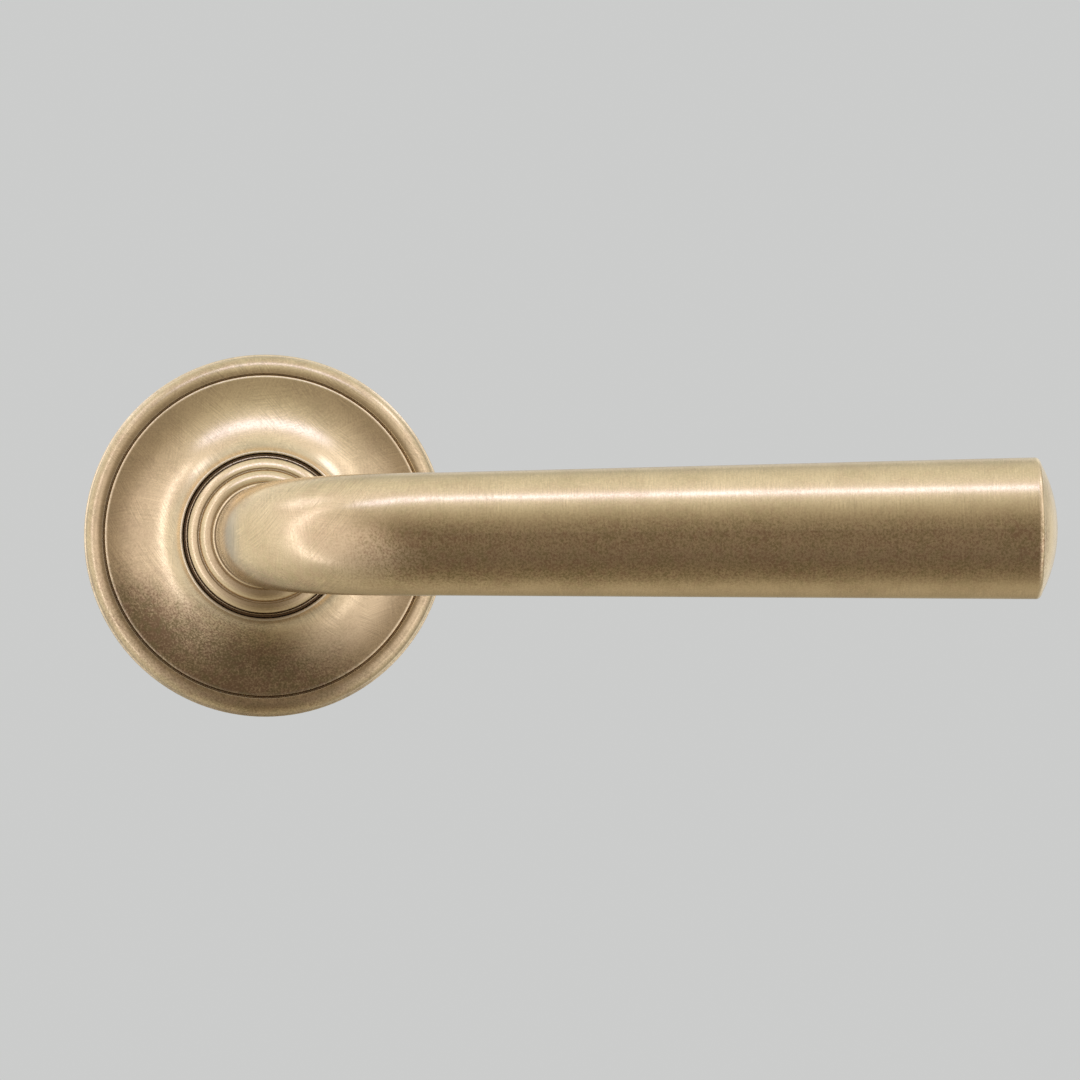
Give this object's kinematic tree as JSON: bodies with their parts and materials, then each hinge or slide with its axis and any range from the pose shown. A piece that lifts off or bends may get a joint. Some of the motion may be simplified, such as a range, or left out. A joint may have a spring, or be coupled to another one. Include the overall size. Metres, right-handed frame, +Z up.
{
  "type": "door lever handle",
  "caption": "Sprung round-bar lever handle on a moulded round rose, with a square spindle and bolt-through posts; turns down to draw a latch.",
  "frame": {"origin": "where the spindle's axis meets the door's face, which is the back of the rose", "axes": "+X along the lever to its free end, -Y out of the door towards the user, +Z up"},
  "size_m": [0.1578, 0.1115, 0.06],
  "materials": {
    "aged_brass": "satin antique brass, finely scratched, with darker patina in the grooves",
    "plated_steel": "bright zinc plate, slightly dull",
    "spring_steel": "oiled spring steel",
    "black_steel": "black phosphated steel",
    "cast_zinc": "matt die-cast zinc alloy",
    "nylon": "natural nylon"
  },
  "bodies": {
    "rose": {"rose_cover": "aged_brass", "mounting_plate": "cast_zinc", "spring_housing": "plated_steel", "torsion_spring": "spring_steel", "front_bush": "nylon", "rear_bush": "nylon", "stop_pins": "spring_steel", "housing_screws": "plated_steel", "fixing_posts": "plated_steel", "wood_screws": "plated_steel", "cover_clip": "spring_steel"},
    "lever": {"lever_handle": "aged_brass", "neck_collar": "aged_brass", "collar_pin": "spring_steel", "spindle": "plated_steel", "grub_screw": "black_steel", "drive_cam": "plated_steel", "retaining_clip": "black_steel", "spring_washer": "spring_steel", "thrust_washer": "plated_steel"}
  },
  "joints": [
    {"name": "lever_turn", "type": "hinge", "parent": "rose", "child": "lever", "pos_m": [0, 0, 0], "axis": [0, 1, 0], "range_deg": [0, 45], "stiffness_Nm_per_rad": 0.65, "springref_deg": -68.75, "deforming": ["torsion_spring"]}
  ]
}
